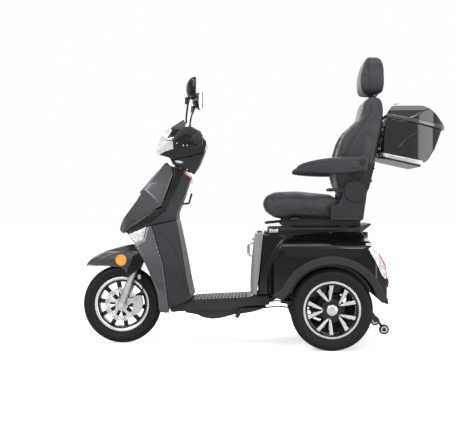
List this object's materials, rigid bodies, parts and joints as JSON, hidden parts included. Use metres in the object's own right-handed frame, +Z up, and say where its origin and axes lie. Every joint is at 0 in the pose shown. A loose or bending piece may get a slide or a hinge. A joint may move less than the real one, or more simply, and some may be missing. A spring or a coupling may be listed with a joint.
{
  "type": "electric tricycle",
  "caption": "Three-wheeled electric mobility scooter with a captain's seat, headrest, folding armrests, enclosed floor, rear anti-tip wheels and a lidded top box.",
  "frame": {"origin": "centre of the overall box on the ground", "axes": "+X to the rear (the vehicle faces -X), -Y to the vehicle's left, +Z up"},
  "size_m": [1.86, 0.7494, 1.474],
  "materials": {
    "frame_steel": "satin black",
    "black_gloss": "gloss",
    "grey_gloss": "metallic gloss",
    "silver_panel": "metallic satin",
    "matte_black": "grained",
    "tyre": "matt",
    "rim_alloy": "machined and black painted",
    "steel": "bare",
    "chrome": "polished",
    "rubber": "matt",
    "upholstery": "stitched",
    "lamp_clear": "clear faceted",
    "lamp_amber": "faceted",
    "lamp_red": "faceted",
    "mirror_black": "gloss",
    "battery": "plain"
  },
  "bodies": {
    "chassis": {"main_frame": "frame_steel", "floor_board": "matte_black", "belly_pan": "matte_black", "parking_brake_pedal": "matte_black", "leg_shield_front": "grey_gloss", "leg_shield_inner": "matte_black", "column_shroud": "matte_black", "nose_panel": "grey_gloss", "front_indicators": "lamp_clear", "bag_hook": "matte_black", "rear_body": "black_gloss", "wheel_arch_flares": "matte_black", "top_deck": "matte_black", "tail_lamps": "lamp_red", "battery_pack": "battery", "seat_posts": "frame_steel", "rear_axle": "frame_steel", "rear_shocks": "frame_steel", "anti_tip_bar": "frame_steel", "brake_cables": "rubber", "seat_rails": "frame_steel", "door_hinge": "steel"},
    "steering": {"steering_stem": "frame_steel", "fork_legs": "steel", "front_axle": "steel", "front_fender": "grey_gloss", "fender_reflectors": "lamp_amber", "brake_caliper": "steel", "handlebar": "frame_steel", "hand_grips": "rubber", "brake_levers": "frame_steel", "mirrors": "mirror_black", "head_cowl": "grey_gloss", "column_cover": "matte_black", "headlight": "lamp_clear", "dashboard": "black_gloss"},
    "front_wheel": {"front_tyre": "tyre", "front_rim": "rim_alloy", "brake_disc": "steel"},
    "rear_wheel_left": {"rear_tyre_left": "tyre", "rear_rim_left": "rim_alloy"},
    "rear_wheel_right": {"rear_tyre_right": "tyre", "rear_rim_right": "rim_alloy"},
    "anti_tip_wheel_left": {"anti_tip_wheel_left": "rubber"},
    "anti_tip_wheel_right": {"anti_tip_wheel_right": "rubber"},
    "battery_door": {"seat_box_door": "silver_panel"},
    "seat": {"seat_frame": "frame_steel", "seat_cushion": "upholstery"},
    "backrest": {"backrest_cushion": "upholstery", "backrest_frame": "frame_steel", "box_rack": "chrome", "top_box": "black_gloss"},
    "headrest": {"headrest": "upholstery"},
    "armrest_left": {"armrest_left": "upholstery"},
    "armrest_right": {"armrest_right": "upholstery"},
    "box_lid": {"top_box_lid": "black_gloss"}
  },
  "joints": [
    {"name": "steering", "type": "hinge", "parent": "chassis", "child": "steering", "pos_m": [-0.69537, 0, 0.19054], "axis": [0.3665, 0, 0.9304], "range_deg": [-40, 40]},
    {"name": "front_wheel_spin", "type": "hinge", "parent": "steering", "child": "front_wheel", "pos_m": [-0.727, 0, 0.203], "axis": [0, 1, 0], "continuous": true},
    {"name": "rear_wheel_left_spin", "type": "hinge", "parent": "chassis", "child": "rear_wheel_left", "pos_m": [0.341, -0.29, 0.203], "axis": [0, 1, 0], "continuous": true},
    {"name": "rear_wheel_right_spin", "type": "hinge", "parent": "chassis", "child": "rear_wheel_right", "pos_m": [0.341, 0.29, 0.203], "axis": [0, 1, 0], "continuous": true},
    {"name": "anti_tip_wheel_left_spin", "type": "hinge", "parent": "chassis", "child": "anti_tip_wheel_left", "pos_m": [0.61, -0.194, 0.095], "axis": [0, 1, 0], "continuous": true},
    {"name": "anti_tip_wheel_right_spin", "type": "hinge", "parent": "chassis", "child": "anti_tip_wheel_right", "pos_m": [0.61, 0.194, 0.095], "axis": [0, 1, 0], "continuous": true},
    {"name": "battery_door_hinge", "type": "hinge", "parent": "chassis", "child": "battery_door", "pos_m": [-0.051, 0, 0.268], "axis": [0, -1, 0], "range_deg": [0, 75]},
    {"name": "seat_slide", "type": "slide", "parent": "chassis", "child": "seat", "axis": [1, 0, 0], "range_m": [-0.06, 0.04]},
    {"name": "backrest_recline", "type": "hinge", "parent": "seat", "child": "backrest", "pos_m": [0.46, 0, 0.785], "axis": [0, 1, 0], "range_deg": [-35, 25]},
    {"name": "headrest_height", "type": "slide", "parent": "backrest", "child": "headrest", "axis": [0.1045, 0, 0.9945], "range_m": [0, 0.05]},
    {"name": "armrest_left_lift", "type": "hinge", "parent": "backrest", "child": "armrest_left", "pos_m": [0.488, -0.289, 0.925], "axis": [0, 1, 0], "range_deg": [0, 85]},
    {"name": "armrest_right_lift", "type": "hinge", "parent": "backrest", "child": "armrest_right", "pos_m": [0.488, 0.289, 0.925], "axis": [0, 1, 0], "range_deg": [0, 85]},
    {"name": "box_lid_hinge", "type": "hinge", "parent": "backrest", "child": "box_lid", "pos_m": [0.617, 0, 1.1605], "axis": [0, -1, 0], "range_deg": [0, 32]}
  ]
}
